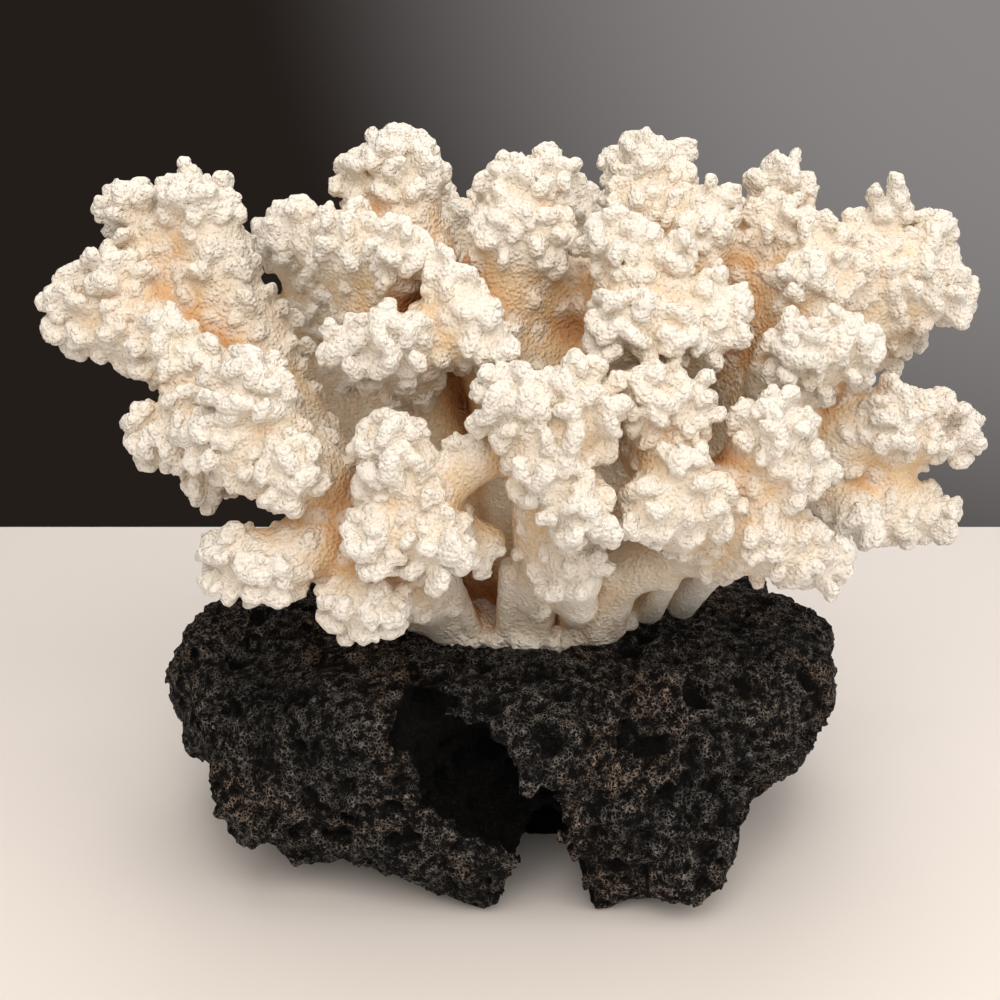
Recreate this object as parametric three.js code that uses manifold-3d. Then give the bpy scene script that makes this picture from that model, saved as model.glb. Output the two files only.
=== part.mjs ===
// Branching stony coral, bleached white, standing on the block of black lava rock that it is fixed to.
// Millimetres, +Z up. The rock's feet stand on z = 0 and the coral is cut where it meets the rock.
// The colony is split at its main forks: a foot on the rock, columns and trunks that rise from it, and
// the branches above each fork.

import * as THREE from "three";
import { ConvexGeometry } from "three/addons/geometries/ConvexGeometry.js";
import { mergeVertices } from "three/addons/utils/BufferGeometryUtils.js";
import Module from "manifold-3d";

const wasm = await Module();
wasm.setup();

// ---------------------------------------------------------------- driving dimensions, mm

const GAP = 0.35; // clearance between two pieces that meet
const LIMB_SIDES = 5; // sides of a trunk, stem or column
const POINT = 0.7; // a limb's pointed ends reach this share of its radius past its two places
const LIMB_TAKE = 0.8; // a fan leaves its fork this much thinner than the stem
const WEB_HEADS = 3; // heads that share one web
const STEM_START = 10; // how far out of its trunk's fork a stem starts
const TO_CENTRE = [-0.3, -4.2]; // moves the growth table's own origin onto the middle of the whole object

const ROCK = {
  centre: [-3, 6, 30], // middle of the block
  half: [89, 66, 33], // half length, half depth, and height above the middle
  root: 52, // depth below the middle, most of it cut away by the floor
  plan: 2.8, // squareness from above: 2 is an ellipse, more is boxier
  side: 6, // squareness from the side
  waist: { left: 0.7, right: 0.46, depth: 0.08 }, // how much it has drawn in at the floor
  brow: 48, // height above the floor at which it starts to draw in
  calmTop: 0.7, // how much flatter the top is than the sides
  detail: 5, // rounds of subdivision of the block
  swells: [
    // wave vector and height of each broad swell in the rock's face
    { wave: [0.061, 0.022, 0.05], phase: 0.6, height: 2.6 },
    { wave: [-0.038, 0.083, 0.041], phase: 2.1, height: 2.2 },
    { wave: [0.118, -0.061, 0.102], phase: 4.4, height: 1.5 },
    { wave: [-0.142, -0.104, 0.173], phase: 1.3, height: 1 },
  ],
};

// The crevice down the rock's front face and the arch that it opens into between the feet: x, y, z, radius.
const CREVICE = [
  [-24, -38, 67, 5],
  [-23, -58, 56, 6],
  [-9, -54, 43, 13],
  [3, -50, 30, 12],
];
const ARCH = { left: -5, right: 20, crown: 26, front: -90, back: -14 };

// The foot is a low mound of crust on top of the rock.
const CRUST = { centre: [1, 6, 62], half: [34, 31, 9], sides: 11 };

// The columns stand on the foot and prop the lowest branches: x, y, z, radius, from the top down.
const COLUMNS = {
  column_left: [[-22, -34, 90, 5], [-22, -30, 80, 5], [-18, -13, 67, 6]],
  column_front: [[16, -46, 90, 4], [16, -37, 80, 4], [15, -14, 67, 5]],
  column_right_inner: [[38, -38, 98, 4], [38, -30, 84, 3], [36, -8, 66, 4]],
  column_right_outer: [[50, -32, 96, 4], [49, -25, 84, 4], [45, -5, 66, 4]],
};

// The trunks that rise from the foot, each a bent taper through three places: x, y, z, radius.
const TRUNKS = {
  trunk_left: [[-18, -2, 63, 11], [-36, -6, 86, 12], [-54, -8, 107, 11]],
  trunk_left_front: [[-14, -16, 63, 7], [-22, -26, 80, 7], [-32, -38, 96, 8]],
  trunk_centre: [[-8, 2, 63, 12], [-18, -3, 96, 13], [-26, -6, 132, 12]],
  trunk_middle: [[2, -4, 63, 11], [1, -8, 100, 11], [-2, -12, 134, 10]],
  trunk_front: [[3, -17, 63, 6], [4, -27, 82, 6], [9, -40, 100, 8]],
  trunk_right_front: [[21, -15, 63, 7], [26, -25, 82, 6], [46, -34, 98, 8]],
  trunk_right: [[18, 6, 63, 10], [30, 5, 87, 9], [64, -2, 111, 12]],
  trunk_top_right: [[12, 8, 63, 12], [22, 6, 98, 12], [32, 2, 130, 12]],
  trunk_back_left: [[-16, 18, 63, 11], [-30, 34, 88, 10], [-46, 44, 110, 9]],
  trunk_back: [[0, 22, 63, 11], [-2, 38, 90, 11], [-4, 48, 116, 9]],
  trunk_back_right: [[16, 20, 63, 11], [32, 36, 88, 11], [50, 44, 112, 9]],
};

// The branches: a stem from its trunk's fork, and the heads that its limbs end in.
const BRANCHES = {
  far_left: {
    stem: [[-54, -8, 107, 9], [-78, -8, 130, 8]],
    heads: [[-99, -8, 154, 10], [-109, -6, 147, 11], [-97, -12, 143, 9]],
  },
  upper_left: {
    stem: [[-54, -8, 107, 9], [-66, -2, 134, 9]],
    heads: [
      [-96, 4, 170, 9], [-79, 2, 172, 11], [-75, -2, 157, 10],
      [-94, 0, 157, 8], [-68, -4, 147, 8],
    ],
  },
  left: {
    stem: [[-54, -8, 107, 9], [-66, -18, 124, 8]],
    heads: [[-86, -20, 142, 9], [-76, -26, 135, 10]],
  },
  left_low: {
    stem: [[-54, -8, 107, 8], [-64, -24, 114, 7]],
    heads: [[-86, -32, 122, 9], [-77, -38, 127, 9], [-74, -38, 112, 6]],
  },
  left_front: {
    stem: [[-32, -38, 96, 8], [-48, -44, 116, 7]],
    heads: [[-61, -48, 137, 11], [-68, -50, 127, 9], [-52, -56, 121, 9]],
  },
  lower_left: {
    stem: [[-32, -38, 96, 8], [-48, -48, 100, 6]],
    heads: [[-66, -52, 98, 9], [-58, -57, 96, 8]],
  },
  low_front_left: {
    stem: [[-22, -28, 80, 7], [-32, -46, 88, 6]],
    heads: [[-40, -58, 89, 7], [-33, -60, 91, 8]],
  },
  front_left: {
    stem: [[-32, -38, 96, 7], [-24, -50, 108, 7]],
    heads: [[-28, -58, 127, 10], [-32, -64, 108, 8], [-17, -64, 106, 9], [-22, -60, 117, 7]],
  },
  upper_left_front: {
    stem: [[-26, -6, 132, 9], [-26, -30, 140, 8]],
    heads: [[-37, -44, 147, 8], [-27, -48, 150, 9]],
  },
  top_left_front: {
    stem: [[-26, -6, 132, 10], [-32, -16, 152, 9]],
    heads: [[-53, -12, 169, 8], [-41, -20, 168, 9], [-27, -28, 165, 9]],
  },
  top_left: {
    stem: [[-26, -6, 132, 10], [-25, -5, 158, 9]],
    heads: [[-37, 0, 178, 9], [-28, -2, 180, 12], [-27, -6, 168, 9]],
  },
  top_middle: {
    stem: [[-2, -12, 134, 10], [-2, -12, 156, 9]],
    heads: [[9, -8, 180, 8], [0, -12, 178, 9], [6, -20, 168, 9], [-4, -22, 171, 7]],
  },
  front_ridge: {
    stem: [[-2, -12, 134, 8], [-12, -30, 148, 7]],
    heads: [[-17, -34, 162, 6], [-10, -42, 153, 6], [-4, -48, 146, 5]],
  },
  centre_front: {
    stem: [[9, -40, 100, 8], [8, -48, 120, 8]],
    heads: [[-1, -58, 138, 10], [14, -58, 138, 11], [6, -62, 126, 9], [14, -66, 115, 9]],
  },
  front_stub: {
    stem: [[7, -30, 82, 6], [12, -44, 92, 5]],
    heads: [[14, -52, 101, 7], [15, -50, 92, 5]],
  },
  front_right_up: {
    stem: [[46, -34, 98, 8], [34, -42, 122, 8]],
    heads: [[30, -52, 138, 9], [39, -50, 135, 8]],
  },
  front_right_mid: {
    stem: [[46, -34, 98, 7], [38, -48, 108, 7]],
    heads: [[37, -59, 122, 8], [30, -61, 114, 8], [44, -57, 114, 8]],
  },
  front_right: {
    stem: [[46, -34, 98, 8], [54, -42, 112, 8]],
    heads: [[58, -50, 129, 10], [65, -50, 121, 9]],
  },
  low_front_right: {
    stem: [[46, -34, 98, 7], [54, -44, 100, 6]],
    heads: [[56, -54, 106, 8], [67, -50, 100, 8], [73, -46, 95, 7]],
  },
  low_right: {
    stem: [[64, -2, 111, 8], [82, -10, 102, 7]],
    heads: [[97, -14, 95, 8], [107, -12, 95, 8], [86, -26, 98, 6]],
  },
  far_right: {
    stem: [[64, -2, 111, 9], [84, -12, 116, 8]],
    heads: [[94, -18, 122, 10], [106, -14, 119, 9], [113, -10, 115, 8]],
  },
  right_shelf: {
    stem: [[64, -2, 111, 9], [66, -20, 132, 8]],
    heads: [[67, -34, 144, 9], [78, -30, 144, 9]],
  },
  right_fan: {
    stem: [[64, -2, 111, 9], [82, 2, 140, 9]],
    heads: [[95, 6, 170, 7], [105, 6, 162, 9], [110, 4, 150, 9], [97, 0, 156, 10], [84, 0, 162, 8]],
  },
  right_fingers: {
    stem: [[64, -2, 111, 7], [86, 10, 130, 6]],
    heads: [[103, 14, 138, 7], [98, 18, 130, 6]],
  },
  top_right_middle: {
    stem: [[32, 2, 130, 10], [34, 8, 156, 9]],
    heads: [[31, 14, 180, 9], [38, 14, 179, 9], [31, 8, 170, 10]],
  },
  upper_front: {
    stem: [[32, 2, 130, 9], [28, -18, 148, 9]],
    heads: [[23, -28, 168, 9], [33, -30, 164, 9], [24, -44, 152, 9], [34, -42, 149, 9]],
  },
  top_right_small: {
    stem: [[32, 2, 130, 8], [44, 0, 154, 7]],
    heads: [[50, 2, 173, 6], [46, -6, 166, 7]],
  },
  right_knobs: {
    stem: [[32, 2, 130, 8], [42, -22, 144, 7]],
    heads: [[41, -34, 156, 6], [50, -32, 154, 6], [45, -38, 148, 6]],
  },
  top_right: {
    stem: [[64, -2, 111, 10], [61, 3, 144, 9]],
    heads: [[68, 10, 175, 9], [65, 0, 167, 9]],
  },
  right_crown: {
    stem: [[64, -2, 111, 10], [69, -6, 142, 8]],
    heads: [[74, -6, 164, 8], [80, -8, 158, 9], [70, -18, 157, 8]],
  },
  back_left_low: {
    stem: [[-46, 44, 110, 8], [-66, 42, 108, 7]],
    heads: [[-84, 38, 112, 11], [-76, 48, 99, 9]],
  },
  back_left: {
    stem: [[-46, 44, 110, 9], [-70, 34, 130, 8]],
    heads: [[-94, 24, 132, 11], [-86, 32, 147, 9]],
  },
  back_left_top: {
    stem: [[-46, 44, 110, 9], [-54, 36, 138, 8]],
    heads: [[-60, 32, 158, 11], [-48, 42, 150, 9]],
  },
  back_left_inner: {
    stem: [[-46, 44, 110, 8], [-44, 54, 116, 7]],
    heads: [[-48, 64, 122, 11], [-40, 66, 106, 9], [-38, 60, 136, 9]],
  },
  back_top: {
    stem: [[-4, 48, 116, 9], [-12, 38, 144, 8]],
    heads: [[-22, 36, 164, 10], [-8, 42, 160, 10]],
  },
  back: {
    stem: [[-4, 48, 116, 9], [-4, 60, 124, 8]],
    heads: [[-12, 70, 136, 10], [5, 72, 126, 10], [-16, 70, 118, 9]],
  },
  back_low: {
    stem: [[-2, 38, 90, 7], [-4, 52, 92, 6]],
    heads: [[2, 66, 98, 9], [-14, 64, 91, 8]],
  },
  back_right_top: {
    stem: [[50, 44, 112, 9], [34, 40, 142, 8]],
    heads: [[18, 40, 162, 10], [34, 42, 158, 11]],
  },
  back_right: {
    stem: [[50, 44, 112, 8], [48, 54, 124, 7]],
    heads: [[44, 62, 138, 11], [54, 60, 124, 10]],
  },
  back_right_low: {
    stem: [[32, 36, 88, 7], [44, 52, 94, 7]],
    heads: [[38, 66, 104, 9], [58, 58, 99, 9]],
  },
  back_right_side: {
    stem: [[50, 44, 112, 8], [74, 34, 126, 8]],
    heads: [[86, 36, 142, 10], [92, 30, 126, 10], [80, 44, 114, 9]],
  },
  back_right_crown: {
    stem: [[50, 44, 112, 8], [62, 34, 140, 7]],
    heads: [[64, 34, 158, 10], [78, 26, 153, 9]],
  },
  right_back_low: {
    stem: [[50, 44, 112, 7], [78, 32, 104, 6]],
    heads: [[98, 26, 108, 9], [88, 34, 96, 8]],
  },
};

// ---------------------------------------------------------------- closed meshes to solids and back

function solidOf(geometry) {
  geometry.deleteAttribute("normal");
  geometry.deleteAttribute("uv");
  const merged = mergeVertices(geometry, 1e-4);
  const mesh = new wasm.Mesh({
    numProp: 3,
    vertProperties: merged.attributes.position.array,
    triVerts: new Uint32Array(merged.index.array),
  });
  return new wasm.Manifold(mesh);
}

function geometryOf(solid) {
  const mesh = solid.getMesh();
  const geometry = new THREE.BufferGeometry();
  geometry.setAttribute("position", new THREE.BufferAttribute(mesh.vertProperties, 3));
  geometry.setIndex(new THREE.BufferAttribute(mesh.triVerts, 1));
  geometry.computeVertexNormals();
  return geometry;
}

const joined = (solids) => solids.reduce((all, next) => all.add(next));

// The one body that is left when a cut has set small offcuts free.
function mainBody(solid) {
  const bodies = solid.decompose();
  return bodies.reduce((best, body) => (body.volume() > best.volume() ? body : best));
}

// ---------------------------------------------------------------- growth forms

const distance = (from, to) => Math.hypot(to[0] - from[0], to[1] - from[1], to[2] - from[2]);

// A faceted taper between two places, with pointed ends that carry it past both of them.
function limb(from, to, grow) {
  const near = from[3] + grow;
  const far = to[3] + grow;
  const length = distance(from, to);
  const profile = [
    new THREE.Vector2(0, -near * POINT),
    new THREE.Vector2(near, 0),
    new THREE.Vector2(far, length),
    new THREE.Vector2(0, length + far * POINT),
  ];
  const geometry = new THREE.LatheGeometry(profile, LIMB_SIDES);
  const start = new THREE.Vector3(...from.slice(0, 3));
  const along = new THREE.Vector3(...to.slice(0, 3)).sub(start).normalize();
  const turn = new THREE.Quaternion();
  turn.setFromUnitVectors(new THREE.Vector3(0, 1, 0), along);
  geometry.applyQuaternion(turn);
  geometry.translate(start.x, start.y, start.z);
  return solidOf(geometry);
}

const chain = (places, grow) =>
  joined(places.slice(1).map((place, i) => limb(places[i], place, grow)));

// The twelve corners of a faceted ball, turned by its own place so that no two heads look alike.
function corners([x, y, z, radius], grow) {
  const ball = new THREE.IcosahedronGeometry(radius + grow, 0);
  ball.rotateX(x + z);
  ball.rotateY(y);
  ball.translate(x, y, z);
  const place = ball.attributes.position;
  return Array.from({ length: place.count }, (_, i) => new THREE.Vector3().fromBufferAttribute(place, i));
}

// A fan of up to WEB_HEADS heads, webbed together down to the fork that they grew from.
function fan(fork, heads, grow) {
  const leaving = [...fork.slice(0, 3), fork[3] * LIMB_TAKE];
  const places = [leaving, ...heads];
  return solidOf(new ConvexGeometry(places.flatMap((place) => corners(place, grow))));
}

// The stem starts a little way out of its trunk's fork, so that sister stems don't crowd each other.
function branch({ stem: [root, fork], heads }, grow) {
  const share = STEM_START / distance(root, fork);
  const start = root.map((value, i) => value + (fork[i] - value) * share);
  const solids = [limb(start, fork, grow)];
  for (let i = 0; i < heads.length; i += WEB_HEADS) {
    solids.push(fan(fork, heads.slice(i, i + WEB_HEADS), grow));
  }
  return joined(solids);
}

// Flat below, where the rock cuts it, and domed above.
function mound(grow) {
  const profile = [[0, -1], [1, -0.3], [0.92, 0.4], [0.5, 0.9], [0, 1]];
  const points = profile.map(([across, up]) => new THREE.Vector2(across, up));
  const geometry = new THREE.LatheGeometry(points, CRUST.sides);
  geometry.rotateX(Math.PI / 2);
  geometry.scale(...CRUST.half.map((half) => half + grow));
  geometry.translate(...CRUST.centre);
  return solidOf(geometry);
}

// ---------------------------------------------------------------- lava rock

// A squared, tapering block: a superellipsoid whose sides draw in below its middle, with broad swells.
function rockSkin(grow) {
  const geometry = new THREE.IcosahedronGeometry(1, ROCK.detail);
  const place = geometry.attributes.position;
  const way = new THREE.Vector3();
  for (let i = 0; i < place.count; i += 1) {
    way.fromBufferAttribute(place, i);
    const plan = (Math.abs(way.x) ** ROCK.plan + Math.abs(way.y) ** ROCK.plan) ** (1 / ROCK.plan);
    const reach = (plan ** ROCK.side + Math.abs(way.z) ** ROCK.side) ** (1 / ROCK.side);
    const unit = way.clone().divideScalar(reach);
    const [cx, cy, cz] = ROCK.centre;
    const [hx, hy, top] = ROCK.half;
    const z = cz + unit.z * (unit.z > 0 ? top : ROCK.root);
    const below = THREE.MathUtils.clamp(1 - z / ROCK.brow, 0, 1.2) ** 3;
    const drawX = 1 - below * (unit.x < 0 ? ROCK.waist.left : ROCK.waist.right);
    const drawY = 1 - below * ROCK.waist.depth;
    const point = new THREE.Vector3(cx + hx * drawX * unit.x, cy + hy * drawY * unit.y, z);
    const calm = 1 - ROCK.calmTop * Math.max(unit.z, 0) ** 4;
    let swell = grow;
    for (const { wave, phase, height } of ROCK.swells) {
      const turn = wave[0] * point.x + wave[1] * point.y + wave[2] * point.z + phase;
      swell += calm * height * Math.sin(turn);
    }
    point.addScaledVector(way, swell);
    place.setXYZ(i, point.x, point.y, point.z);
  }
  return solidOf(geometry);
}

// The pointed arch between the feet, a tunnel outline carried back from the front face.
function archCut() {
  const { left, right, crown, front, back } = ARCH;
  const middle = (left + right) / 2;
  const outline = new THREE.Shape();
  outline.moveTo(left, -1);
  outline.lineTo(right, -1);
  outline.quadraticCurveTo(right, crown * 0.7, middle, crown);
  outline.quadraticCurveTo(left, crown * 0.7, left, -1);
  const geometry = new THREE.ExtrudeGeometry(outline, {
    depth: back - front,
    bevelEnabled: false,
    curveSegments: 3,
  });
  geometry.rotateX(Math.PI / 2);
  geometry.translate(0, back, 0);
  return solidOf(geometry);
}

function floorCut() {
  const reach = 300;
  const geometry = new THREE.BoxGeometry(reach, reach, reach);
  geometry.translate(0, 0, -reach / 2);
  return solidOf(geometry);
}

function rock(grow) {
  return rockSkin(grow).subtract(chain(CREVICE, -grow)).subtract(archCut()).subtract(floorCut());
}

// ---------------------------------------------------------------- assembly

// Each piece is cut back from the ones before it, so that neighbours meet across a hairline gap.
const pieces = [];

function place(name, build, finish) {
  const whole = build(0);
  const grown = build(GAP);
  const cut = pieces.reduce((left, other) => left.subtract(other.grown), whole);
  pieces.push({ name, grown, solid: mainBody(cut), finish });
}

const BLEACHED_CORAL = { color: 0xf2e9dc, roughness: 0.9, metalness: 0 };
const LAVA = { color: 0x1d1b1a, roughness: 0.95, metalness: 0 };

place("lava_rock", rock, LAVA);
place("coral_foot", mound, BLEACHED_CORAL);
for (const [name, places] of Object.entries({ ...COLUMNS, ...TRUNKS })) {
  place(name, (grow) => chain(places, grow), BLEACHED_CORAL);
}
for (const [name, form] of Object.entries(BRANCHES)) {
  place(`branch_${name}`, (grow) => branch(form, grow), BLEACHED_CORAL);
}

const coral = new THREE.Group();
for (const { name, solid, finish } of pieces) {
  const mesh = new THREE.Mesh(geometryOf(solid), new THREE.MeshStandardMaterial(finish));
  mesh.name = name;
  coral.add(mesh);
}
coral.position.set(TO_CENTRE[0], TO_CENTRE[1], 0);

export default coral;
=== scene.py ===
"""A bleached branching coral on the block of black lava rock that it is fixed to.

Each construction piece of the colony is replaced by a grown one: the limbs, heads and lobes are written
as one signed field on a grid, the field is shared out between the pieces, and each share is skinned as a
closed mesh. The rock is made in the same way. Lengths in the growth tables are millimetres.
"""

import math
from functools import cache

import bpy
import numpy as np
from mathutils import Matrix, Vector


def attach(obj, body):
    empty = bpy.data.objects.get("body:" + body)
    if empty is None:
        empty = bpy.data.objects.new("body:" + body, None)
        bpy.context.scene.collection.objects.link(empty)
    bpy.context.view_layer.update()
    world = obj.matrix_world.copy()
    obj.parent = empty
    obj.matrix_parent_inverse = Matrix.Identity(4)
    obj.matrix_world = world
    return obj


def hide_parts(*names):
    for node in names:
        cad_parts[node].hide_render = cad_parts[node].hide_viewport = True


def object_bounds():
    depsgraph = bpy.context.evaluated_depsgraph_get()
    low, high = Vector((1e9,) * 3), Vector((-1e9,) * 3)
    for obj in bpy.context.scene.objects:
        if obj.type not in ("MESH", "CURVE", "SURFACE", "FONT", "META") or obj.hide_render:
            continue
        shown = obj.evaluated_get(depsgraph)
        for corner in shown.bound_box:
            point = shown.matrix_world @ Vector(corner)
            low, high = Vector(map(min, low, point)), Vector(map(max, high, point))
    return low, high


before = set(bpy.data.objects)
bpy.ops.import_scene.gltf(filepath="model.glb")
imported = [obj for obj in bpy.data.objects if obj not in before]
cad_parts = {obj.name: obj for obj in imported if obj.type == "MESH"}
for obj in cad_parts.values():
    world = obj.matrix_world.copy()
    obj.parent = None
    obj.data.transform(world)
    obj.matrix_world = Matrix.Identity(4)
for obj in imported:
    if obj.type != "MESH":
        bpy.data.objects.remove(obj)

import openvdb
from bpy.props import FloatProperty, FloatVectorProperty, IntProperty, PointerProperty
from mathutils import Vector

bl_info = {
    "name": "Branching coral on lava rock",
    "version": (1, 0, 0),
    "blender": (4, 5, 0),
    "location": "3D View > Sidebar > Coral",
    "description": "Grows a bleached branching coral on a block of lava rock",
    "category": "Add Mesh",
}

MM = 0.001
CAD_BOX = [list(map(float, corner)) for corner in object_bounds()]

# Moves the growth tables' own origin, in millimetres, onto the middle of the whole object.
TO_CENTRE = np.array([-0.3, -4.2, 0.0])
FAR = 6.0  # the field's value well away from any skin, in millimetres

# ------------------------------------------------------------------ growth tables: x, y, z, radius

CRUST = {"centre": (1, 6, 62), "half": (34, 31, 9)}

COLUMNS = {
    "column_left": [(-22, -34, 90, 5), (-22, -30, 80, 5), (-18, -13, 67, 6)],
    "column_front": [(16, -46, 90, 4), (16, -37, 80, 4), (15, -14, 67, 5)],
    "column_right_inner": [(38, -38, 98, 4), (38, -30, 84, 3), (36, -8, 66, 4)],
    "column_right_outer": [(50, -32, 96, 4), (49, -25, 84, 4), (45, -5, 66, 4)],
}

TRUNKS = {
    "trunk_left": [(-18, -2, 63, 11), (-36, -6, 86, 12), (-54, -8, 107, 11)],
    "trunk_left_front": [(-14, -16, 63, 7), (-22, -26, 80, 7), (-32, -38, 96, 8)],
    "trunk_centre": [(-8, 2, 63, 12), (-18, -3, 96, 13), (-26, -6, 132, 12)],
    "trunk_middle": [(2, -4, 63, 11), (1, -8, 100, 11), (-2, -12, 134, 10)],
    "trunk_front": [(3, -17, 63, 6), (4, -27, 82, 6), (9, -40, 100, 8)],
    "trunk_right_front": [(21, -15, 63, 7), (26, -25, 82, 6), (46, -34, 98, 8)],
    "trunk_right": [(18, 6, 63, 10), (30, 5, 87, 9), (64, -2, 111, 12)],
    "trunk_top_right": [(12, 8, 63, 12), (22, 6, 98, 12), (32, 2, 130, 12)],
    "trunk_back_left": [(-16, 18, 63, 11), (-30, 34, 88, 10), (-46, 44, 110, 9)],
    "trunk_back": [(0, 22, 63, 11), (-2, 38, 90, 11), (-4, 48, 116, 9)],
    "trunk_back_right": [(16, 20, 63, 11), (32, 36, 88, 11), (50, 44, 112, 9)],
}

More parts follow.
